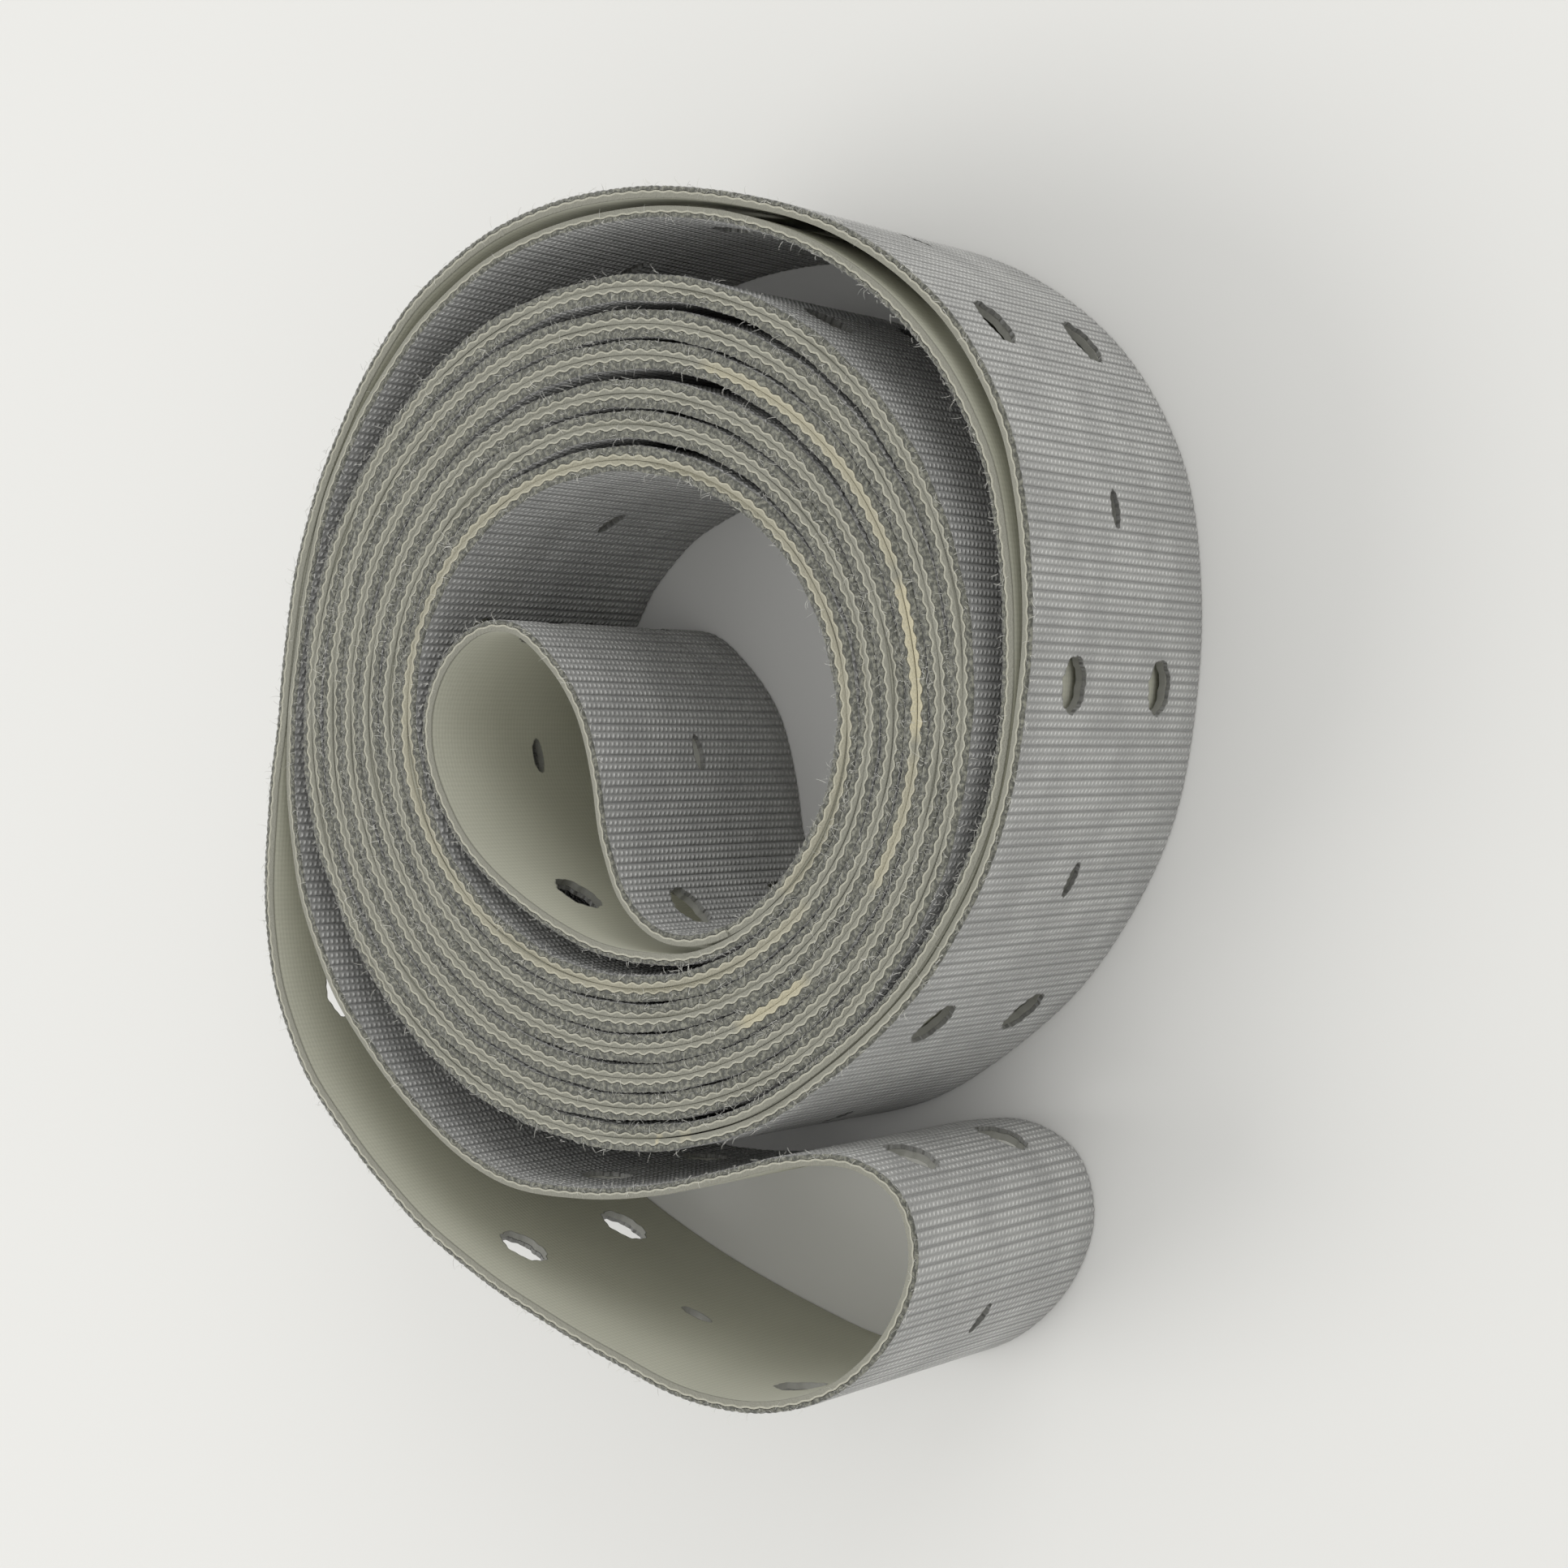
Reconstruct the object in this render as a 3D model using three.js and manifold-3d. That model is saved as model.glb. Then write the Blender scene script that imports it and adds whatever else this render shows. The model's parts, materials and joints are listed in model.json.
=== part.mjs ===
// Endless two-ply webbing belt, folded flat on itself and rolled up, standing on one edge.
// Millimetres, +Z up, the middle of the footprint at the origin.
import * as THREE from 'three';
import { mergeVertices } from 'three/addons/utils/BufferGeometryUtils.js';
import Module from 'manifold-3d';

const wasm = await Module();
wasm.setup();

// Webbing
const beltWidth = 50;
const coverThickness = 1.0;      // ribbed woven cover, on the right of the way the belt is followed
const liningThickness = 0.55;    // smooth cream lining bonded to the cover's back
const plyGap = 0.06;             // between the two plies' solids
const liningMargin = 0.25;       // the lining stops this far inside the cover's edges
const strandOffset = 0.62;       // from the seam between two strands to each strand's own middle
const jointGap = 0.3;            // between solids that follow one another along the belt

// Punched holes, counted along the belt
const holePitch = 49;
const firstPair = 15.8;
const slitShift = 23;            // from a pair to the next slit
const pairHeights = [12.5, 37.5];
const pairSize = [7.4, 6.4];     // along the belt, across it
const slitSize = [5.4, 2.4];
const punchDepth = 6;
const punchSides = 12;

// The roll
const coilPlace = new THREE.Vector2(10.45, -0.5);    // its centre, from the middle of the footprint
const coilStart = 225;           // degrees, counted on through the turns
const coilEnd = 2340;
const coilStep = 11.25;
const spansPerTurn = 360 / coilStep;
const bagging = [0, 0.1, -0.25, 0.25, -0.2, 0.1, 0];  // how far each turn stands off on the right

const cosDegrees = (angle) => Math.cos(THREE.MathUtils.degToRad(angle));
const sinDegrees = (angle) => Math.sin(THREE.MathUtils.degToRad(angle));
const polar = (radius, angle) => [radius * cosDegrees(angle), radius * sinDegrees(angle)];

// Radius of the seam between the two strands of the coil: a spiral that is wider than it is round
function seamRadius(angle) {
  const turn = (angle - 270) / 360;
  const bag = bagging[Math.round(turn - 0.25)] * Math.max(0, cosDegrees(angle + 12)) ** 2;
  const start = 33.9 - 0.77 * cosDegrees(2 * angle) + 0.45 * sinDegrees(2 * angle);
  const oval = 0.45 * cosDegrees(2 * angle) - 0.15 * sinDegrees(2 * angle);
  return start + turn * (3.85 + 0.28 * cosDegrees(angle) + oval) + bag;
}

function coilPoints(offset) {
  const spans = (coilEnd - coilStart) / coilStep;
  return Array.from({ length: spans + 1 }, (_, i) => {
    const angle = coilStart + i * coilStep;
    return polar(seamRadius(angle) + offset, angle);
  });
}

// Routes in plan, from the coil's centre. The fold of the belt inside the coil:
const coreRoute = [
  [-28.5, -16], [-29.9, -9.4], [-28.8, -4.4], [-24.2, 0.6], [-17.2, 3.2], [-8.2, 4.6], [0.8, 7.2],
  [7.8, 12.3], [12.3, 18], [12.5, 23.6], [8.8, 29], [2.3, 32.6], [-4.7, 32.7], [-12.7, 29.5],
  [-19.7, 23.5], [-26.2, 14.2], [-30.5, 5.2], [-32, -3.8], [-31.8, -10.4], [-29.5, -17],
];

// The last, loose turn: angle, radius of its outer strand, radius of its inner strand. The outer
// strand runs to the last row, where the free fold begins, and the inner strand starts a row before.
const looseRadii = [
  [191.25, 56.8, 55.4], [202.5, 56.5, 55.1], [225, 56.1, 54.6], [240, 56.7, 55.2], [255, 58.1, 56.4],
  [270, 59.6, 57.7], [285, 62.9, 60.2], [300, 67.4, 63.8], [315, 70, 66.2], [330, 70.4, 67.2],
  [345, 69.6, 67.4], [360, 69.5, 67.1], [375, 69.3, 66.4], [390, 67.1, 64.3], [405, 63.7, 61.6],
  [420, 60.6, 59.1], [435, 58.8, 57.4], [450, 58.9, 57.4],
];

// The fold that stands free outside the coil
const freeRoute = [
  [-9.2, 60.2], [-19.2, 61.4], [-29.2, 61.7], [-39.2, 59.6], [-49.2, 54.8], [-59.2, 46.6],
  [-68.2, 36.6], [-78, 20.2], [-85.6, 2.7], [-89.8, -10.4], [-90.1, -21.4], [-86.7, -31.4],
  [-79.2, -39.4], [-70.2, -43], [-62.2, -41], [-58.2, -34.4], [-58.4, -24.4], [-60.8, -14.4],
  [-63.1, -3.8], [-64.1, 8.6], [-62.6, 21.6], [-56.2, 33.2], [-47.5, 42.2], [-36.2, 50.4],
  [-23.2, 55.8], [-11.2, 57.4], [0, 57.4],
];

// The whole belt as one closed route, and the lengths of belt that make a solid each
const route = [];
const lengths = [];

function follow(points, name, options = {}) {
  const first = Math.max(0, route.length - 1);
  route.push(...points);
  lengths.push({ name, first, last: route.length - 1, spanSteps: 2, punched: false, ...options });
}

function followCoil(points, side) {
  for (let turn = 1; points.length > 0; turn += 1) {
    const place = side === 'outer' ? turn : Math.ceil((coilEnd - coilStart) / 360) + 1 - turn;
    const part = points.splice(0, spansPerTurn + (turn === 1 ? 1 : 0));
    follow(part, `turn_${place}_${side}`, { spanSteps: 1 });
  }
}

follow(coreRoute, 'core_loop', { punched: true });
followCoil(coilPoints(strandOffset), 'outer');
follow(looseRadii.map(([angle, outer]) => polar(outer, angle)), 'loose_turn_outer', { punched: true });
follow(freeRoute, 'free_loop', { punched: true });
const looseInner = looseRadii.slice(0, -1).map(([angle, , inner]) => polar(inner, angle));
follow(looseInner.reverse(), 'loose_turn_inner');
followCoil(coilPoints(-strandOffset).reverse(), 'inner');
lengths.at(-1).last = route.length;      // the belt closes on its own start

const beltLine = new THREE.CatmullRomCurve3(route.map(([x, y]) => new THREE.Vector3(x, y, 0)), true);
beltLine.arcLengthDivisions = 8 * route.length;
const beltLength = beltLine.getLength();
const rightOf = (tangent) => new THREE.Vector3(tangent.y, -tangent.x, 0);

// Points along one length of belt, drawn in from its two ends by half the gap between solids
function stations({ first, last, spanSteps }) {
  const count = (last - first) * spanSteps;
  return Array.from({ length: count + 1 }, (_, i) => {
    const t = ((first + i / spanSteps) / route.length) % 1;
    const tangent = beltLine.getTangent(t);
    const end = i === 0 ? 1 : i === count ? -1 : 0;
    const middle = beltLine.getPoint(t).addScaledVector(tangent, end * jointGap / 2);
    return { middle, right: rightOf(tangent) };
  });
}

// One ply of one length: a rectangle carried along the stations and closed at both ends
function plyGeometry(length, { near, far, low, high }) {
  const corners = [[near, low], [far, low], [far, high], [near, high]];
  const line = stations(length);
  const positions = line.flatMap(({ middle, right }) => corners.flatMap(([offset, height]) =>
    middle.clone().addScaledVector(right, offset).setZ(height).toArray()));
  const faces = [0, 1, 2, 0, 2, 3];
  for (let i = 0; i < line.length - 1; i += 1) {
    for (let side = 0; side < 4; side += 1) {
      const [a, b] = [4 * i + side, 4 * i + (side + 1) % 4];
      faces.push(a, a + 4, b, b, a + 4, b + 4);
    }
  }
  const end = 4 * (line.length - 1);
  faces.push(end, end + 2, end + 1, end, end + 3, end + 2);
  const geometry = new THREE.BufferGeometry();
  geometry.setAttribute('position', new THREE.Float32BufferAttribute(positions, 3));
  geometry.setIndex(faces);
  return geometry;
}

function toSolid(geometry) {
  const bare = geometry.clone();
  bare.deleteAttribute('normal');
  bare.deleteAttribute('uv');
  const merged = mergeVertices(bare);
  return new wasm.Manifold(new wasm.Mesh({
    numProp: 3,
    vertProperties: merged.attributes.position.array,
    triVerts: new Uint32Array(merged.index.array),
  }));
}

function toGeometry(solid) {
  const mesh = solid.getMesh();
  const geometry = new THREE.BufferGeometry();
  geometry.setAttribute('position', new THREE.BufferAttribute(mesh.vertProperties, 3));
  geometry.setIndex(new THREE.BufferAttribute(mesh.triVerts, 1));
  return geometry;
}

// An oval punch through the belt at a distance along it and a height
function punch(distance, height, [along, across]) {
  const share = distance / beltLength;
  const tangent = beltLine.getTangentAt(share);
  const right = rightOf(tangent);
  const place = beltLine.getPointAt(share).setZ(height);
  const pose = new THREE.Matrix4().makeBasis(tangent, right, new THREE.Vector3(0, 0, -1));
  pose.setPosition(place);
  const oval = new THREE.CylinderGeometry(0.5, 0.5, punchDepth, punchSides);
  return oval.scale(along, 1, across).applyMatrix4(pose);
}

// Every punch whose whole oval falls inside one length of belt
function punches({ first, last }) {
  const distances = beltLine.getLengths();
  const start = distances[8 * first];
  const stop = distances[8 * last];
  const found = [];
  for (let pair = firstPair; pair < beltLength; pair += holePitch) {
    const inside = (distance) => distance > start + pairSize[0] && distance < stop - pairSize[0];
    if (inside(pair)) found.push(...pairHeights.map((height) => punch(pair, height, pairSize)));
    if (inside(pair + slitShift)) found.push(punch(pair + slitShift, beltWidth / 2, slitSize));
  }
  return found;
}

const plies = [
  { name: 'cover', near: plyGap / 2, far: coverThickness, low: 0, high: beltWidth, color: 0xb4b3ae },
  {
    name: 'lining', near: -liningThickness, far: -plyGap / 2,
    low: liningMargin, high: beltWidth - liningMargin, color: 0xcdc8b2,
  },
];

const belt = new THREE.Group();
belt.position.set(coilPlace.x, coilPlace.y, 0);

for (const ply of plies) {
  for (const length of lengths) {
    let geometry = plyGeometry(length, ply);
    if (length.punched) {
      const cut = punches(length).reduce((solid, tool) => solid.subtract(toSolid(tool)), toSolid(geometry));
      geometry = toGeometry(cut);
    }
    const material = new THREE.MeshStandardMaterial({ color: ply.color, roughness: 0.85, metalness: 0 });
    const mesh = new THREE.Mesh(geometry, material);
    mesh.name = `${ply.name}_${length.name}`;
    belt.add(mesh);
  }
}

export default belt;
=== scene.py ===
# Rolled endless webbing belt: a ribbed cover and a cream lining, wound double and standing on edge
import json
import math

import bpy
import numpy as np
from mathutils import Matrix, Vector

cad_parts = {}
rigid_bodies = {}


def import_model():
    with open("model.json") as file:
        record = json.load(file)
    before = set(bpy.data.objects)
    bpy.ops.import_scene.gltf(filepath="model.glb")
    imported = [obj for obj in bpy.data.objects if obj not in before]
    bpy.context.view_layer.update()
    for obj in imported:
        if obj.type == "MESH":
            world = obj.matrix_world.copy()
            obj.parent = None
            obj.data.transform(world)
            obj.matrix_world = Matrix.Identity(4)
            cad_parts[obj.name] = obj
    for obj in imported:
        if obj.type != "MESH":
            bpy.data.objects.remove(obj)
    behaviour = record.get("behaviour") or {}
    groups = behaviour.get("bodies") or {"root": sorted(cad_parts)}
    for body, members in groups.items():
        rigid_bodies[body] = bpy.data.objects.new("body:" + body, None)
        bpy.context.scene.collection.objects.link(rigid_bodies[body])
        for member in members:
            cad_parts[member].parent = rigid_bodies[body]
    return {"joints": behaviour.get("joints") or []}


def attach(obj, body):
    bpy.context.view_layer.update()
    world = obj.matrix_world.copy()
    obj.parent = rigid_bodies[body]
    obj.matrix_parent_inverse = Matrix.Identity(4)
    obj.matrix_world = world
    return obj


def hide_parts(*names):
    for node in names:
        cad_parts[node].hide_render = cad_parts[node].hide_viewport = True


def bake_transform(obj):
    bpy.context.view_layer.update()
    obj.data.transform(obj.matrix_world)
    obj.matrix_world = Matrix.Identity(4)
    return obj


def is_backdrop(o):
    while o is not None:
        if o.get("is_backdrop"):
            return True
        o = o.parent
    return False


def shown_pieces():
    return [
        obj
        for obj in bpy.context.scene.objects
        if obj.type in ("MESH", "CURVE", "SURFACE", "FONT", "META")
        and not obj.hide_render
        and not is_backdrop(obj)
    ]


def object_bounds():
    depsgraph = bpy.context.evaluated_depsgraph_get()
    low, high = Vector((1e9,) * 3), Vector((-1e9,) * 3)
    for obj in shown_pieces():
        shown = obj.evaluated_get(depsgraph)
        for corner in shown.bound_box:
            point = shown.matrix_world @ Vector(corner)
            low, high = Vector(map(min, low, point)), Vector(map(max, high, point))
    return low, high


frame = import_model()
cadLow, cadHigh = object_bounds()
millimetre = 0.001

# The belt's line in plan, millimetres from the coil's centre, as the CAD model has it
print("belt line")

beltPlan = {
    "strandOffset": 0.62,                     # from the seam between two strands to each one's middle
    "coilStart": 225.0, "coilEnd": 2340.0, "coilStep": 11.25,       # degrees, counted on through the turns
    "firstRadius": 33.9, "firstOval": (-0.77, 0.45),     # of the seam between the two strands
    "growth": 3.85, "growthLean": 0.28, "growthOval": (0.45, -0.15),   # of that radius in each turn
    "bagging": (0, 0.1, -0.25, 0.25, -0.2, 0.1, 0),   # how far each turn stands off on the right
    "bagLean": 12,                            # degrees that this is turned from the right
    "gapInCoil": 0.04,                        # left between two covers that face each other
    "coverFace": 1.0,                         # the cover's ribbed face, from the strand's middle
    "coverRoom": (0.95, 1.3),                 # the same where the next turn presses on it
    "coreRoute": (
        (-28.5, -16), (-29.9, -9.4), (-28.8, -4.4), (-24.2, 0.6), (-17.2, 3.2), (-8.2, 4.6), (0.8, 7.2),
        (7.8, 12.3), (12.3, 18), (12.5, 23.6), (8.8, 29), (2.3, 32.6), (-4.7, 32.7), (-12.7, 29.5),
        (-19.7, 23.5), (-26.2, 14.2), (-30.5, 5.2), (-32, -3.8), (-31.8, -10.4), (-29.5, -17)),
    "looseRadii": (                           # angle, outer strand, inner strand
        (191.25, 56.8, 55.4), (202.5, 56.5, 55.1), (225, 56.1, 54.6), (240, 56.7, 55.2), (255, 58.1, 56.4),
        (270, 59.6, 57.7), (285, 62.9, 60.2), (300, 67.4, 63.8), (315, 70, 66.2), (330, 70.4, 67.2),
        (345, 69.6, 67.4), (360, 69.5, 67.1), (375, 69.3, 66.4), (390, 67.1, 64.3), (405, 63.7, 61.6),
        (420, 60.6, 59.1), (435, 58.8, 57.4), (450, 58.9, 57.4)),
    "freeRoute": (
        (-9.2, 60.2), (-19.2, 61.4), (-29.2, 61.7), (-39.2, 59.6), (-49.2, 54.8), (-59.2, 46.6),
        (-68.2, 36.6), (-78, 20.2), (-85.6, 2.7), (-89.8, -10.4), (-90.1, -21.4), (-86.7, -31.4),
        (-79.2, -39.4), (-70.2, -43), (-62.2, -41), (-58.2, -34.4), (-58.4, -24.4), (-60.8, -14.4),
        (-63.1, -3.8), (-64.1, 8.6), (-62.6, 21.6), (-56.2, 33.2), (-47.5, 42.2), (-36.2, 50.4),
        (-23.2, 55.8), (-11.2, 57.4), (0, 57.4)),
}


def polar(radius, angle):
    turned = np.radians(angle)
    return np.stack([radius * np.cos(turned), radius * np.sin(turned)], -1)


# Seam radius: a spiral that grows by a turn's thickness, wider than it is round, bagging on the right
def seamRadius(angle, plan):
    turned, turn = np.radians(angle), (angle - 270) / 360
    place = np.floor(turn + 0.25).astype(int)
    toRight = np.clip(np.cos(np.radians(angle + plan["bagLean"])), 0, None)
    bag = np.array(plan["bagging"])[place] * toRight ** 2

    def oval(size):
        return size[0] * np.cos(2 * turned) + size[1] * np.sin(2 * turned)

    growth = plan["growth"] + plan["growthLean"] * np.cos(turned) + oval(plan["growthOval"])
    return plan["firstRadius"] + oval(plan["firstOval"]) + turn * growth + bag


# The whole belt as one closed line: each point with how far out the cover's face stands and the
# coil's angle there (0 off the coil), and the knot at which each length of the belt ends
def beltRoute(plan):
    spans = round((plan["coilEnd"] - plan["coilStart"]) / plan["coilStep"])
    angles = plan["coilStart"] + plan["coilStep"] * np.arange(spans + 1)
    loose = np.array(plan["looseRadii"])
    perTurn = round(360 / plan["coilStep"])
    points, ends = [], [("", -1)]

    def follow(name, part, face=None, angle=None):
        face = np.full(len(part), plan["coverFace"]) if face is None else face
        angle = np.zeros(len(part)) if angle is None else angle
        points.append(np.column_stack([part, face, angle]))
        ends.append((name, ends[-1][1] + len(part)))

    def followCoil(side, direction):
        turns = math.ceil(spans / perTurn)
        strand = angles[::direction]
        part = polar(seamRadius(strand, plan) + direction * plan["strandOffset"], strand)
        lower = np.clip(strand - 180 + direction * 180, plan["coilStart"], plan["coilEnd"] - 360)
        half = (seamRadius(lower + 360, plan) - seamRadius(lower, plan)) / 2 - plan["strandOffset"]
        covered = (strand < plan["coilEnd"] - 360) if direction > 0 else (strand > plan["coilStart"] + 360)
        face = np.where(covered, np.clip(half - plan["gapInCoil"], *plan["coverRoom"]), plan["coverFace"])
        for turn in range(turns):
            place = turn + 1 if direction > 0 else turns - turn
            lot = slice(perTurn * turn + (turn > 0), perTurn * (turn + 1) + 1)
            follow(f"turn_{place}_{side}", part[lot], face[lot], strand[lot])

    follow("core_loop", np.array(plan["coreRoute"], float))
    followCoil("outer", 1)
    follow("loose_turn_outer", polar(loose[:, 1], loose[:, 0]))
    follow("free_loop", np.array(plan["freeRoute"], float))
    follow("loose_turn_inner", polar(loose[:-1, 2], loose[:-1, 0])[::-1])
    followCoil("inner", -1)
    points = np.concatenate(points)
    ends[-1] = (ends[-1][0], len(points))     # the belt closes on its own start
    return points, ends[1:]


# Closed centripetal Catmull-Rom curve: each span is a cubic whose end slopes come from its four
# nearest points, weighted by the square roots of the distances between them
def closedCurve(points, perSpan):
    before, after, beyond = np.roll(points, 1, 0), np.roll(points, -1, 0), np.roll(points, -2, 0)

    def gap(first, second):
        return np.sqrt(np.linalg.norm(second - first, axis=1))[:, None]

    gapBefore, gapHere, gapBeyond = gap(before, points), gap(points, after), gap(after, beyond)
    here = (after - points) / gapHere
    leave = ((points - before) / gapBefore - (after - before) / (gapBefore + gapHere) + here) * gapHere
    arrive = (here - (beyond - points) / (gapHere + gapBeyond) + (beyond - after) / gapBeyond) * gapHere
    share = (np.arange(perSpan) / perSpan)[None, :, None]
    start, end, leave, arrive = points[:, None], after[:, None], leave[:, None], arrive[:, None]
    square = -3 * start + 3 * end - 2 * leave - arrive
    cube = 2 * start - 2 * end + leave + arrive
    return (start + share * (leave + share * (square + share * cube))).reshape(-1, 2)


curveSteps = 24
route, lengthEnds = beltRoute(beltPlan)
linePlan = closedCurve(route[:, :2], curveSteps)
linePlan = np.vstack([linePlan, linePlan[:1]])
lineKnot = np.arange(len(linePlan)) / curveSteps
lineFace = np.interp(lineKnot, np.arange(len(route) + 1), np.append(route[:, 2], route[0, 2]))
lineAngle = np.interp(lineKnot, np.arange(len(route) + 1), np.append(route[:, 3], route[0, 3]))
linePressed = np.clip(lineAngle / beltPlan["coilStart"], 0, 1)
lineAlong = np.concatenate([[0], np.cumsum(np.linalg.norm(np.diff(linePlan, axis=0), axis=1))])
beltLength = lineAlong[-1]
ahead = np.roll(linePlan[:-1], -1, 0) - np.roll(linePlan[:-1], 1, 0)
ahead /= np.linalg.norm(ahead, axis=1)[:, None]
lineRight = np.column_stack([ahead[:, 1], -ahead[:, 0]])
lineRight = np.vstack([lineRight, lineRight[:1]])
outline = np.concatenate([linePlan, linePlan + lineRight * beltPlan["coverFace"]])
cadMiddle = (np.array(cadLow)[:2] + np.array(cadHigh)[:2]) / 2 / millimetre
beltPlace = cadMiddle - (outline.min(0) + outline.max(0)) / 2
beltWidth = (cadHigh[2] - cadLow[2]) / millimetre
floorLevel = cadLow[2] / millimetre
alongEnds = {}
reached = 0.0
for lengthName, knot in lengthEnds:
    alongEnds[lengthName] = (reached, lineAlong[min(knot * curveSteps, len(lineAlong) - 1)])
    reached = alongEnds[lengthName][1]


# Point of the belt: its middle line at a distance along it, moved off to the right, at a height
def beltPoint(along, offset, height):
    wrapped = np.mod(along, beltLength)
    middle = np.stack([np.interp(wrapped, lineAlong, linePlan[:, axis]) for axis in (0, 1)], -1)
    right = np.stack([np.interp(wrapped, lineAlong, lineRight[:, axis]) for axis in (0, 1)], -1)
    plan = middle + right * offset[..., None] + beltPlace
    return np.concatenate([plan, (height + floorLevel)[..., None]], -1)


print("camera, lights and floor")

cameraView = {
    "lens": 77.17,                            # on a 36 mm sensor
    "stand": (0.0012, -0.2546, 0.4197),       # from the middle of the footprint
    "elevation": 58.23,                       # degrees below the horizon, looking along +Y
    "roll": -0.89,                            # past a quarter turn, as the camera lies on its side
}
lighting = {
    "world": ((1.0, 0.998, 0.985), 0.9),
    "lamps": (                                # name, place, size, power, colour
        ("window", (-0.5, 1.4, 1.7), 1.4, 16, (1.0, 0.99, 0.97)),
        ("ceiling", (-0.1, 0.2, 2.2), 1.8, 3, (0.98, 0.99, 1.0)),
        ("side", (1.2, -0.6, 0.9), 1.0, 4.5, (1.0, 1.0, 0.99)),
    ),
}


def placed(right, up, back, place):
    turned = np.column_stack([right, up, back, place])
    return Matrix(np.vstack([turned, [0, 0, 0, 1]]).tolist())


def addCamera(settings):
    data = bpy.data.cameras.new("camera")
    data.lens, data.sensor_width = settings["lens"], 36
    data.clip_start, data.clip_end = 0.01, 20
    camera = bpy.data.objects.new("camera", data)
    bpy.context.scene.collection.objects.link(camera)
    down, roll = math.radians(settings["elevation"]), math.radians(settings["roll"])
    side = np.array([1.0, 0.0, 0.0])
    forward = np.array([0.0, math.cos(down), -math.sin(down)])
    over = np.array([0.0, math.sin(down), math.cos(down)])
    right = math.sin(roll) * side - math.cos(roll) * over
    up = math.cos(roll) * side + math.sin(roll) * over
    middle = (np.array(cadLow) + np.array(cadHigh)) / 2
    place = np.array([middle[0], middle[1], cadLow[2]]) + np.array(settings["stand"])
    camera.matrix_world = placed(right, up, -forward, place)
    bpy.context.scene.camera = camera


def addLamp(name, place, size, power, colour):
    data = bpy.data.lights.new(name, "AREA")
    data.shape, data.size, data.energy, data.color = "DISK", size, power, colour
    lamp = bpy.data.objects.new(name, data)
    bpy.context.scene.collection.objects.link(lamp)
    back = np.array(place) / np.linalg.norm(place)
    across = np.cross([0, 1, 0], back)
    across /= np.linalg.norm(across)
    lamp.matrix_world = placed(across, np.cross(back, across), back, place)


addCamera(cameraView)
for lamp in lighting["lamps"]:
    addLamp(*lamp)
world = bpy.data.worlds.new("room")
world.use_nodes = True
sky = world.node_tree.nodes["Background"]
sky.inputs["Color"].default_value = (*lighting["world"][0], 1)
sky.inputs["Strength"].default_value = lighting["world"][1]
bpy.context.scene.world = world
bpy.context.scene.view_settings.view_transform = "Standard"
bpy.context.scene.view_settings.gamma = 1.16  # lifts the darker tones


print("materials")


class Wire:                                   # a node's output that Python's operators work on
    def __init__(self, tree, output):
        self.tree, self.output = tree, output

    def node(self, kind, inputs=None, settings=None, out=0):
        made = self.tree.nodes.new(kind)
        for name, value in (settings or {}).items():
            setattr(made, name, value)
        for name, value in (inputs or {}).items():
            if isinstance(value, Wire):
                self.tree.links.new(value.output, made.inputs[name])
            else:
                made.inputs[name].default_value = value
        return Wire(self.tree, made.outputs[out])

    def maths(self, operation, *values):
        return self.node("ShaderNodeMath", dict(enumerate(values)), {"operation": operation})

    def __add__(self, other):
        return self.maths("ADD", self, other)

    __radd__ = __add__

    def __sub__(self, other):
        return self.maths("SUBTRACT", self, other)

    def __rsub__(self, other):
        return self.maths("SUBTRACT", other, self)

    def __mul__(self, other):
        return self.maths("MULTIPLY", self, other)

    __rmul__ = __mul__

    def __pow__(self, other):
        return self.maths("POWER", self, other)

    def wave(self, shift=0.0):                # 1 at whole turns, 0 at half turns
        turned = self * (2 * math.pi) + shift * 2 * math.pi
        return turned.maths("COSINE", turned) * 0.5 + 0.5

    def rise(self, low, high):                # 0 below low, 1 above high
        limits = {"Value": self, "From Min": low, "From Max": high}
        return self.node("ShaderNodeMapRange", limits, {"interpolation_type": "SMOOTHSTEP"})

    def blend(self, first, second):           # from the first colour at 0 to the second at 1
        return self.node("ShaderNodeMix", {0: self, 6: first, 7: second}, {"data_type": "RGBA"}, out=2)


def newMaterial(name, roughness, sheen=0.0):
    made = bpy.data.materials.new(name)
    made.use_nodes = True
    tree = made.node_tree
    shader = tree.nodes["Principled BSDF"]
    shader.inputs["Roughness"].default_value = roughness
    shader.inputs["Specular IOR Level"].default_value = 0.25
    shader.inputs["Sheen Weight"].default_value = sheen
    shader.inputs["Sheen Roughness"].default_value = 0.6
    return made, tree, shader


def colour(red, green, blue):
    return (red, green, blue, 1.0)


def attributeWire(tree, name, out):
    node = tree.nodes.new("ShaderNodeAttribute")
    node.attribute_name = name
    return Wire(tree, node.outputs[out])


# The "belt" attribute, and its distance along, offset to the right and height, in millimetres
def beltCoordinates(tree):
    place = attributeWire(tree, "belt", "Vector")
    split = place.node("ShaderNodeSeparateXYZ", {"Vector": place})
    return place, *(Wire(tree, output) for output in split.output.node.outputs)


def connect(tree, shader, base, height, distance):
    tree.links.new(base.output, shader.inputs["Base Color"])
    bump = height.node("ShaderNodeBump", {"Height": height, "Strength": 1.0, "Distance": distance})
    tree.links.new(bump.output, shader.inputs["Normal"])


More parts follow.
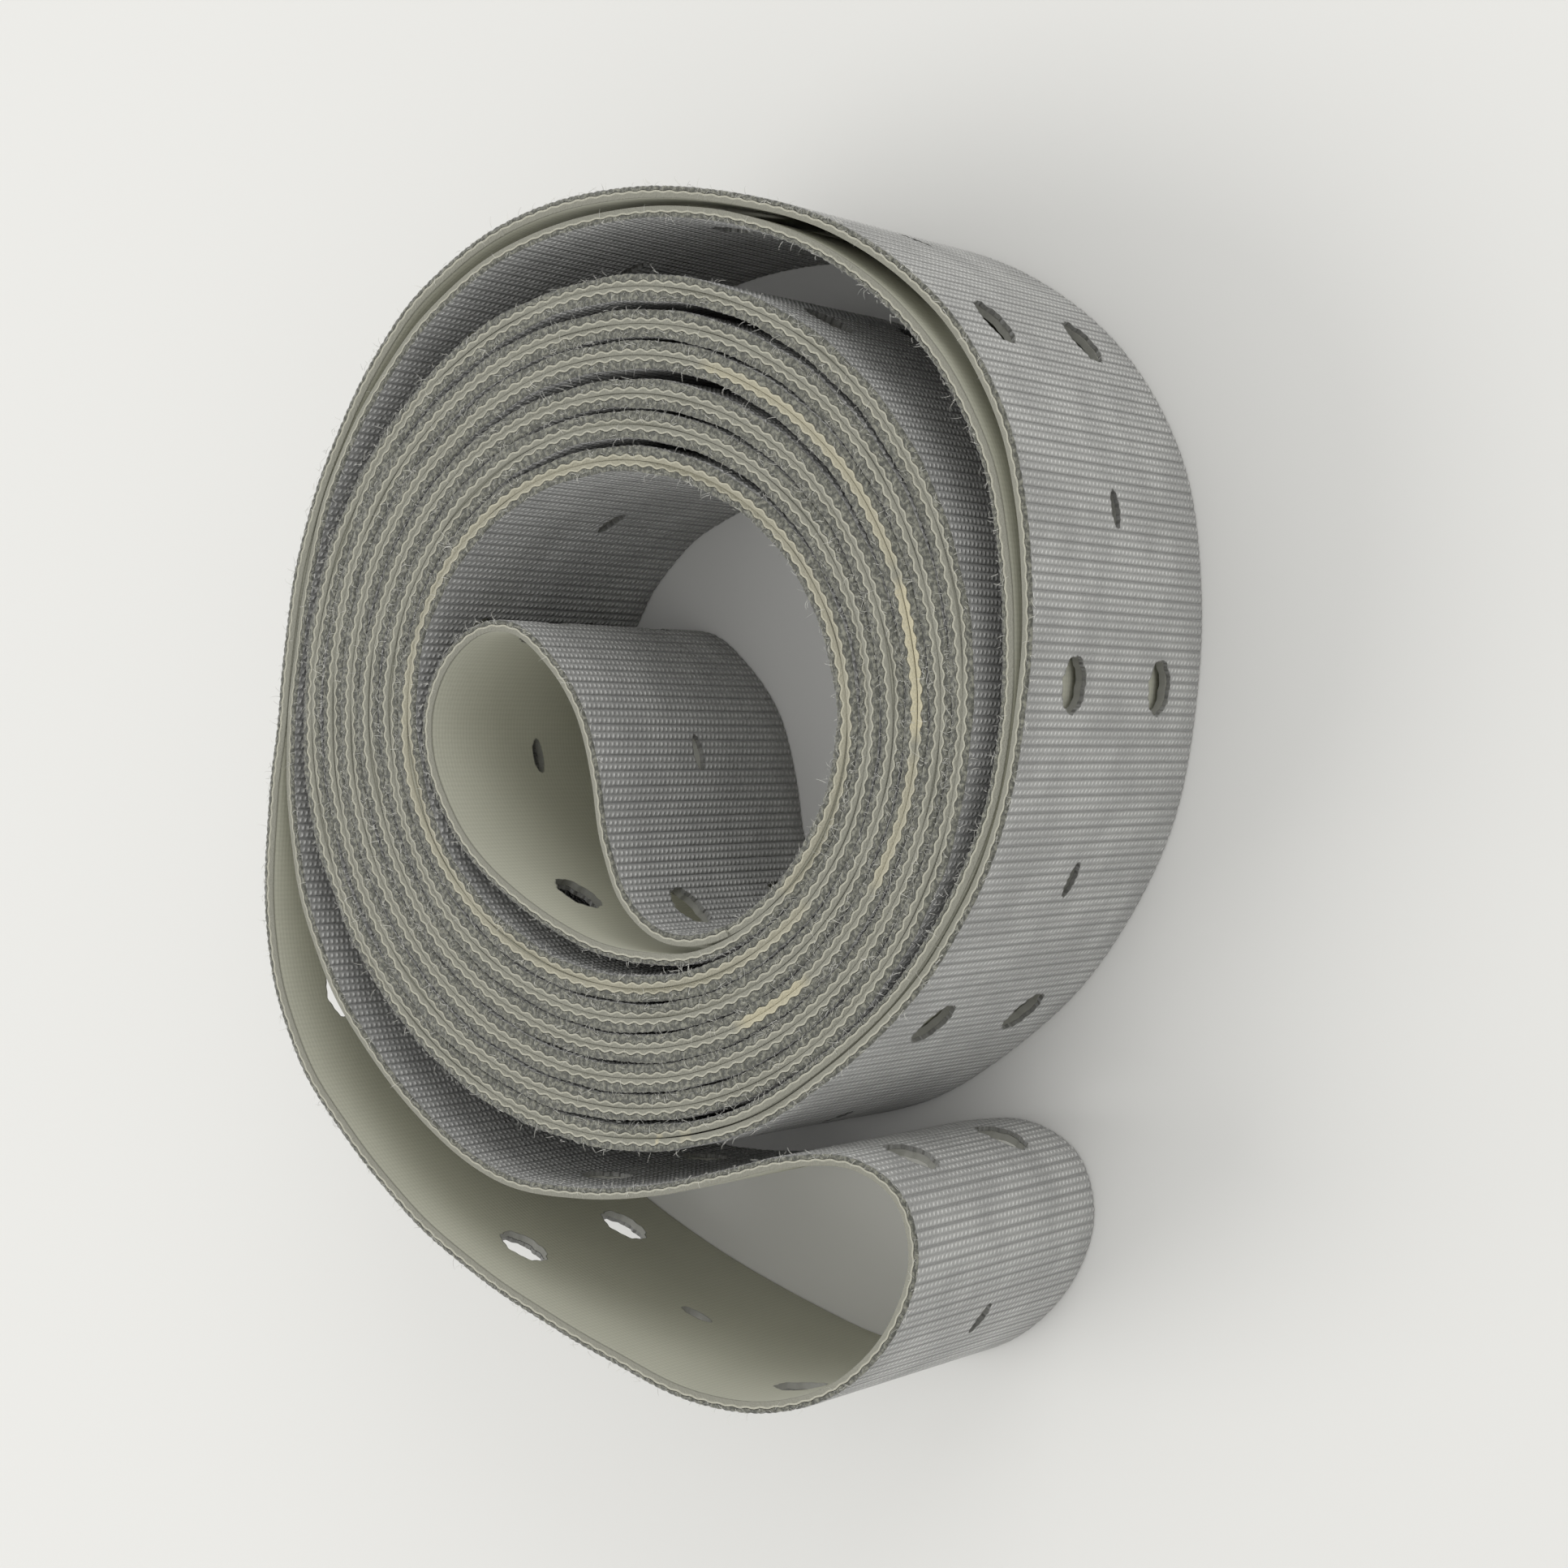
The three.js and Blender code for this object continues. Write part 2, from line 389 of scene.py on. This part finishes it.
weave = {
    "pair": 2.137,                            # two ribs, along the belt
    "stitch": 1.07,                           # from stitch to stitch, across the belt
    "ribDepth": 0.05,
    "pairDepth": 0.03,
    "interface": (0.36, 0.15),                # where the plies meet: loose, and pressed in the coil
    "waveDepth": (0.09, 0.18),                # of the line between the plies
    "edgeRound": (0.32, 0.2),                 # of the cover's edges
}
coverLook = {
    # the cloth's dark tone, and also the painted shade in the grooves between the ribs
    "shade": colour(0.12, 0.12, 0.115),
    "thread": colour(0.29, 0.29, 0.277),
    # painted highlight: the near-white that the stitch dashes are lightened to, for the glint of their shiny
    # threads
    "stitchHighlight": colour(0.84, 0.84, 0.81),
    "edgeDark": colour(0.03, 0.031, 0.022),
    "edgeLight": colour(0.155, 0.154, 0.118),
    "cut": colour(0.11, 0.11, 0.10),          # painted shade on the walls inside the holes
    "patches": 0.11, "fuzz": 2.6, "tufts": 1.7,   # noise scales, to the millimetre
    "roughness": 0.5, "sheen": 0.25, "relief": 0.0004,
}
liningLook = {
    "face": colour(0.50, 0.495, 0.405),
    "faceDark": colour(0.38, 0.38, 0.305),
    "edge": colour(0.195, 0.192, 0.155),
    "bead": colour(0.39, 0.38, 0.305),
    "aged": colour(0.47, 0.425, 0.28),
    # painted shade on the walls inside the holes
    "cut": colour(0.17, 0.17, 0.15),
    "patches": 0.09, "fuzz": 3.4,
    "roughness": 0.7, "sheen": 0.05, "relief": 0.00006,
}


def noiseWire(place, scale, detail=2.0):
    return place.node("ShaderNodeTexNoise", {"Vector": place, "Scale": scale, "Detail": detail})


def coverMaterial(look):
    made, tree, shader = newMaterial("ribbed cover", look["roughness"], sheen=look["sheen"])
    place, along, _, height = beltCoordinates(tree)
    pair = along * (1 / weave["pair"])
    crest = (pair * 2).wave(-0.5)             # both ribs of a pair
    groove = pair.wave() ** 14                # the deep groove between pairs
    shallow = pair.wave(0.5) ** 20 * 0.5      # the shallow one inside a pair
    lean = pair.maths("FRACT", pair) * 0.75   # stitches slant across their pair of ribs
    stitch = (height * (1 / weave["stitch"]) + lean).wave()
    # edge bands: the fuzzy upper edge in its own dark tones, and a band along the foot, where the dark colour
    # is partly the edge's own brownish tone and partly painted shade where the belt meets the floor
    edge = height.rise(beltWidth - 0.3, beltWidth - 0.1) + (1 - height.rise(0.1, 0.5))
    dash = (stitch ** 1.5) * (crest ** 0.9) * (1 - edge)
    patchy = noiseWire(place, look["patches"], 3.0).rise(0.35, 0.65)
    fine = noiseWire(place, look["fuzz"], 3.0)
    cloth = (0.62 + 0.3 * patchy + (fine - 0.5) * 0.5).blend(look["shade"], look["thread"])
    # painted highlight: the stitch dashes, a real pattern, are lightened toward near-white for the glint of
    # their shiny threads under the top light
    highlightedStitches = (dash * (patchy * 0.34 + 0.58)).blend(cloth, look["stitchHighlight"])
    # painted shade: the grooves between the ribs are darkened toward the dark tone
    face = ((groove + shallow) * (0.25 + fine * 0.7)).blend(highlightedStitches, look["shade"])
    tuft = noiseWire(place, look["tufts"], 4.0).rise(0.38, 0.66)
    # the edge colours go on both bands; along the foot they are partly painted contact shade
    edged = edge.blend(face, tuft.blend(look["edgeDark"], look["edgeLight"]))
    # painted shade: the walls inside the holes are darkened
    base = attributeWire(tree, "cut", "Fac").rise(0.55, 0.95).blend(edged, look["cut"])
    relief = dash * 1.1 - (groove + shallow) * 0.5 * (1 - edge) + fine * 0.3 + edge * tuft * 0.4
    connect(tree, shader, base, relief, look["relief"])
    return made


def liningMaterial(look):
    made, tree, shader = newMaterial("cream lining", look["roughness"], sheen=look["sheen"])
    place, along, offset, height = beltCoordinates(tree)
    threads = (along * (3 / weave["pair"])).wave() * 0.5 + (height * (1.5 / weave["stitch"])).wave() * 0.5
    cloudy = noiseWire(place, look["patches"], 3.0)
    fine = noiseWire(place, look["fuzz"], 3.0)
    face = (threads * 0.5 + cloudy * 0.4 + (fine - 0.5) * 0.3).blend(look["faceDark"], look["face"])
    edge = height.rise(beltWidth - 0.35, beltWidth - 0.12)
    top = edge.blend(face, look["edge"])
    wave = attributeWire(tree, "wave", "Fac")
    bead = (offset - wave).rise(-0.36, -0.26) * edge * (fine * 0.9 + 0.4)
    beaded = bead.blend(top, look["bead"])
    aged = attributeWire(tree, "aged", "Fac") * (0.25 + 0.75 * edge) * (cloudy * 0.6 + fine * 0.8)
    yellowed = aged.blend(beaded, look["aged"])
    # painted shade: the walls inside the holes are darkened
    base = attributeWire(tree, "cut", "Fac").rise(0.6, 0.95).blend(yellowed, look["cut"])
    relief = threads * 0.5 + fine * (0.6 + edge * 3)
    connect(tree, shader, base, relief, look["relief"])
    return made


def fibreMaterial():
    made, tree, shader = newMaterial("stray fibres", 0.6, sheen=0.2)
    place = attributeWire(tree, "belt", "Vector")
    tone = noiseWire(place, 0.7)
    base = tone.rise(0.35, 0.65).blend(colour(0.30, 0.30, 0.27), colour(0.75, 0.74, 0.67))
    tree.links.new(base.output, shader.inputs["Base Color"])
    return made


def floorMaterial():
    made, tree, shader = newMaterial("plain floor", 0.75)
    node = tree.nodes.new("ShaderNodeTexCoord")
    place = Wire(tree, node.outputs["Object"])
    tone = noiseWire(place, 6.0)
    base = tone.blend(colour(0.635, 0.632, 0.612), colour(0.65, 0.647, 0.627))
    tree.links.new(base.output, shader.inputs["Base Color"])
    return made


coverCloth = coverMaterial(coverLook)
liningCloth = liningMaterial(liningLook)
fibreStuff = fibreMaterial()


print("meshes")


def meshFromQuads(name, points, quads, material, attributes):
    mesh = bpy.data.meshes.new(name)
    mesh.vertices.add(len(points))
    mesh.vertices.foreach_set("co", (points * millimetre).astype(np.float32).ravel())
    mesh.loops.add(4 * len(quads))
    mesh.loops.foreach_set("vertex_index", quads.astype(np.int32).ravel())
    mesh.polygons.add(len(quads))
    mesh.polygons.foreach_set("loop_start", 4 * np.arange(len(quads), dtype=np.int32))
    mesh.polygons.foreach_set("use_smooth", np.ones(len(quads), bool))
    mesh.update(calc_edges=True)
    for attributeName, values in attributes.items():
        kind = "FLOAT_VECTOR" if values.ndim == 2 else "FLOAT"
        field = "vector" if values.ndim == 2 else "value"
        layer = mesh.attributes.new(attributeName, kind, "POINT")
        layer.data.foreach_set(field, values.astype(np.float32).ravel())
    mesh.materials.append(material)
    piece = bpy.data.objects.new(name, mesh)
    bpy.context.scene.collection.objects.link(piece)
    return piece


# Wall quads between two alike surfaces, along every edge that has a face on one side only
def rimQuads(quads, count):
    starts, stops = quads.ravel(), np.roll(quads, -1, 1).ravel()
    rim = ~np.isin(starts * count + stops, stops * count + starts)
    first, second = starts[rim], stops[rim]
    return np.column_stack([second, first, first + count, second + count])


punched = {
    "pitch": 49.0, "firstPair": 15.8, "slitShift": 23.0,
    "splice": 3400.0,                         # the holes are counted both ways from the core fold, to here
    "pairHeights": (12.5, 37.5), "pairSize": (7.4, 6.4), "slitSize": (5.2, 2.3),
}


def punchedHoles(first, last, settings):      # centre along, centre height, half length, half height
    found = []
    counted = [np.arange(start, settings["splice"], step) for start, step in (
        (settings["firstPair"], settings["pitch"]), (beltLength + settings["firstPair"], -settings["pitch"]))]
    for pair in np.concatenate(counted):
        reach = settings["pairSize"][0]
        if first + reach < pair < last - reach:
            halfHigh = settings["pairSize"][1] / 2
            found += [(pair, height, reach / 2, halfHigh) for height in settings["pairHeights"]]
        slit = pair + settings["slitShift"]
        if first + reach < slit < last - reach:
            found.append((slit, beltWidth / 2, settings["slitSize"][0] / 2, settings["slitSize"][1] / 2))
    return found


plainRows = (0, 0.35, 20, 41, 46.5, 49.1, 49.5, 49.75, 49.92, 50)
punchedRows = np.concatenate([
    [0, 0.35, 6], np.linspace(8.8, 16.2, 12), [20], np.linspace(23.2, 26.8, 7), [30],
    np.linspace(33.8, 41.2, 12), [44, 48.2, 49.1, 49.5, 49.75, 49.92, 50]])


# How far a ply's face draws in over its rounded edges, top and bottom
def edgeInset(height, radius):
    reach = np.clip((np.abs(height - beltWidth / 2) - (beltWidth / 2 - radius)) / radius, 0, 1)
    return radius * (1 - np.sqrt(1 - reach ** 2))


# The upper edge's own lie: slow waves along the belt, and the ends of the ribs standing up
def edgeLift(along, height, ribs):
    slow = 0.24 * np.sin(along / 15.3) + 0.18 * np.sin(along / 6.1 + 2) + 0.07 * np.sin(along / 2.3 + 1)
    top = np.clip((height - 30) / 20, 0, 1) ** 2
    return top * (slow + ribs * np.cos(4 * math.pi * (along / weave["pair"] - 0.25)))


def alongLine(along, values):
    return np.interp(np.mod(along, beltLength), lineAlong, values)


def looseToPressed(along, pair):
    return pair[0] + (pair[1] - pair[0]) * alongLine(along, linePressed)


# Where the plies meet: a wavy line, its waves deeper toward the upper edge and in the coil
def interface(along, height):
    wave = looseToPressed(along, weave["waveDepth"]) * np.sin(2 * math.pi * along / weave["pair"])
    return looseToPressed(along, weave["interface"]) + wave * np.clip((height - 44) / 6, 0.25, 1)


holeReach = 6.0                               # half the stretch of belt looked at round a hole


# A ply: an outer face and an inner face on one grid of distance and height, with the punched ovals
# left out of the grid and the two faces walled together round every edge
def plySurface(first, last, rows, holes, columnStep, faces):
    columns = np.linspace(first, last, max(2, round((last - first) / columnStep) + 1))
    along, height = np.meshgrid(columns, np.asarray(rows, float), indexing="ij")
    across = len(rows)
    corner = (np.arange(len(columns) - 1)[:, None] * across + np.arange(across - 1)[None, :])
    keep = np.ones(corner.shape, bool)
    cut = np.zeros(along.shape)
    middleAlong = (along[1:, 1:] + along[:-1, :-1]) / 2
    middleHeight = (height[1:, 1:] + height[:-1, :-1]) / 2
    for centre, level, halfLong, halfHigh in holes:
        nearFrom, nearTo = ((centre - first + side) / columnStep for side in (-holeReach, holeReach))
        near = slice(max(0, int(nearFrom)), int(nearTo) + 2)
        offLong, offHigh = (middleAlong[near] - centre) / halfLong, (middleHeight[near] - level) / halfHigh
        inside = np.hypot(offLong, offHigh) < 1
        keep[near] &= ~inside
        around = sum(np.pad(inside, pads) for pads in (
            ((0, 1), (0, 1)), ((0, 1), (1, 0)), ((1, 0), (0, 1)), ((1, 0), (1, 0))))
        around = around[:len(along[near])]
        rim = (around > 0) & (around < 4)
        cut[near] += rim
        offLong, offHigh = (along[near] - centre) / halfLong, (height[near] - level) / halfHigh
        turned = np.arctan2(offHigh, offLong)
        ragged = 1 + 0.04 * np.sin(7 * turned + centre) + 0.03 * np.sin(13 * turned + 2 * centre)
        stretch = np.where(rim, ragged / np.maximum(np.hypot(offLong, offHigh), 0.2), 1)
        along[near] = centre + offLong * stretch * halfLong
        height[near] = level + offHigh * stretch * halfHigh
    corner = corner[keep]
    quads = np.column_stack([corner, corner + across, corner + across + 1, corner + 1])
    along, height = along.ravel(), height.ravel()
    outer, inner = faces(along, height)
    count = len(along)
    allQuads = np.vstack([quads, quads[:, ::-1] + count, rimQuads(quads, count)])
    surface = np.vstack([np.column_stack([along, *side, height, cut.ravel()]) for side in (outer, inner)])
    used, allQuads = np.unique(allQuads, return_inverse=True)
    return surface[used], allQuads.reshape(-1, 4)


# Cover: ribbed outer face, and an inner face that follows the wavy line between the plies
def coverFaces(along, height):
    pair = 2 * math.pi * along / weave["pair"]
    pressed = alongLine(along, linePressed)
    ribs = weave["ribDepth"] * np.cos(2 * (pair - math.pi / 2)) - weave["pairDepth"] * np.cos(pair)
    inset = [edgeInset(height, radius) for radius in weave["edgeRound"]]
    slack = 0.07 * pressed * (np.sin(along / 4.1) + np.sin(along / 1.7))
    level = height + edgeLift(along, height, 0.03)
    outer = alongLine(along, lineFace) - 0.05 + ribs + slack - inset[0] * (1 - pressed) - inset[1] * pressed
    inner = interface(along, height) + 0.02
    return (outer, level), (inner, level)


# Lining: smooth inner face, and an outer face whose top edge curls over in a thin raised line
def liningFaces(along, height):
    level = 0.25 + height * (beltWidth - 0.5) / beltWidth + edgeLift(along, height, 0.0)
    curl = np.interp(height, (49.75, 49.92, 50), (0, 0.08, 0.2))
    rise = np.interp(height, (49.1, 49.75, 49.92, 50), (0, 0.36, 0.4, 0.25))
    outer = (interface(along, height) - 0.02 - curl, level + rise)
    inner = (-0.6 + edgeInset(height, 0.1), level + np.interp(height, (49.1, 50), (0, 0.12)))
    return outer, inner


agedStretches = (                             # coil angles from and to, and how far it has yellowed
    (1282, 1300, 0.9), (1318, 1344, 0.5), (1344, 1372, 1.1), (1372, 1425, 0.6), (225, 590, 0.35))


def agedAmount(along):
    angle = alongLine(along, lineAngle)
    amount = np.zeros(len(along))
    for low, high, strength in agedStretches:
        inside = np.clip((angle - low) / 3, 0, 1) * np.clip((high - angle) / 3, 0, 1)
        amount = np.maximum(amount, strength * inside)
    return amount


print("belt lengths")
punchedLengths = (
    "core_loop", "turn_1_inner", "turn_6_outer", "loose_turn_outer", "loose_turn_inner", "free_loop")
plies = {
    "webbing": {
        "node": "cover", "slot": "cover_webbing", "material": coverCloth, "faces": coverFaces,
        "columnsPerPair": 6},
    "backing": {
        "node": "lining", "slot": "lining", "material": liningCloth, "faces": liningFaces,
        "columnsPerPair": 5},
}
plainColumnsPerPair = 5
swing = frame["joints"][0]
swingAt = swing["pos_m"]
swingReach = 0.012                            # distance along the belt past the fold's hinge


def rideWithBelt(piece, lengthName):          # the free fold's pieces are left unattached, with their place baked in; the others ride on the swing's parent body
    if lengthName == "free_loop":
        start = (swingAt[0] - 0.001, swingAt[1], swingAt[2])
        end = (start[0] - swingReach, swingAt[1], swingAt[2])
        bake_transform(piece)
    else:
        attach(piece, swing["parent"])


for plyName, ply in plies.items():
    for lengthName, (first, last) in alongEnds.items():
        isPunched = lengthName in punchedLengths
        holes = punchedHoles(first, last, punched) if isPunched else ()
        rows = punchedRows if isPunched else plainRows
        columnStep = weave["pair"] / (ply["columnsPerPair"] if isPunched else plainColumnsPerPair)
        surface, quads = plySurface(first, last, rows, holes, columnStep, ply["faces"])
        along, offset, level, height, cut = surface.T
        points = beltPoint(along, offset, level)
        attributes = {
            "belt": np.column_stack([along, offset, height]), "aged": agedAmount(along),
            "wave": interface(along, height), "cut": cut}
        piece = meshFromQuads(f"{plyName}_{lengthName}", points, quads, ply["material"], attributes)
        piece.data.set_sharp_from_angle(angle=math.radians(60))
        rideWithBelt(piece, lengthName)
        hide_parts(f"{ply['node']}_{lengthName}")

print("stray fibres")
fibres = {
    "seed": 11,
    "radius": 0.034,
    "lengths": (0.4, 1.5),
    "offsets": (0.4, 1.25),                   # over the cover's upper edge
    "count": {"roll": 7200, "free_loop": 550},
}


# Fibres: thin three-sided tubes of four rings, each leaving the belt's upper edge in its own
# direction, rising and drooping as half a sine wave and bending aside as a square
def fibreTubes(along, settings, chance):
    count = len(along)
    offset = chance.uniform(*settings["offsets"], count)
    level = beltWidth - 0.12 + edgeLift(along, np.full(count, beltWidth), 0.0)
    root = beltPoint(along, offset, level)
    heading = chance.uniform(0, 2 * math.pi, count)
    forward = np.column_stack([np.cos(heading), np.sin(heading), np.zeros(count)])[:, None]
    aside = np.column_stack([-np.sin(heading), np.cos(heading), np.zeros(count)])[:, None]
    upward = np.array([0.0, 0.0, 1.0])
    reach = settings["lengths"][0] + np.diff(settings["lengths"]) * chance.random(count) ** 2
    rise = (reach * chance.uniform(0.1, 0.55, count))[:, None, None]
    bend = (reach * chance.uniform(-0.45, 0.45, count))[:, None, None]
    share = np.linspace(0, 1, 4)[None, :, None]
    spine = root[:, None] + forward * reach[:, None, None] * share
    spine = spine + aside * bend * share ** 2 + upward * rise * np.sin(2.4 * share)
    corner = np.radians([90, 210, 330])[None, None, :, None]
    ring = (aside[:, None] * np.cos(corner) + upward * np.sin(corner)) * settings["radius"]
    points = (spine[:, :, None] + ring * (1 - 0.6 * share[..., None])).reshape(-1, 3)
    first = (np.arange(count) * 12)[:, None, None] + (np.arange(3) * 3)[None, :, None]
    side, after = np.arange(3)[None, None, :], (np.arange(3)[None, None, :] + 1) % 3
    quads = np.stack([first + side, first + after, first + after + 3, first + side + 3], -1).reshape(-1, 4)
    belt = np.repeat(np.column_stack([along, offset, level]), 12, 0)
    return points, quads, belt


chance = np.random.default_rng(fibres["seed"])
for where, count in fibres["count"].items():
    low, high = alongEnds["free_loop"]
    along = chance.uniform(low + 1, high - 1, count)
    if where == "roll":
        along = chance.uniform(high, beltLength + low, count)
    points, quads, belt = fibreTubes(along, fibres, chance)
    piece = meshFromQuads(f"fibres_{where}", points, quads, fibreStuff, {"belt": belt})
    rideWithBelt(piece, where)

print("floor")
floorHalf = 3.0
floorMesh = bpy.data.meshes.new("floor")
floorMesh.from_pydata(
    [(floorHalf * x, floorHalf * y, 0) for x, y in ((-1, -1), (1, -1), (1, 1), (-1, 1))],
    [], [(0, 1, 2, 3)])
floor = bpy.data.objects.new("floor", floorMesh)
floor.location.z = cadLow[2]
bpy.context.scene.collection.objects.link(floor)
floorMesh.materials.append(floorMaterial())
floor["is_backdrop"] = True

print("sizes")
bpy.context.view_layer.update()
triangles = sum(2 * len(o.data.polygons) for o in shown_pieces())
print("triangles", triangles)
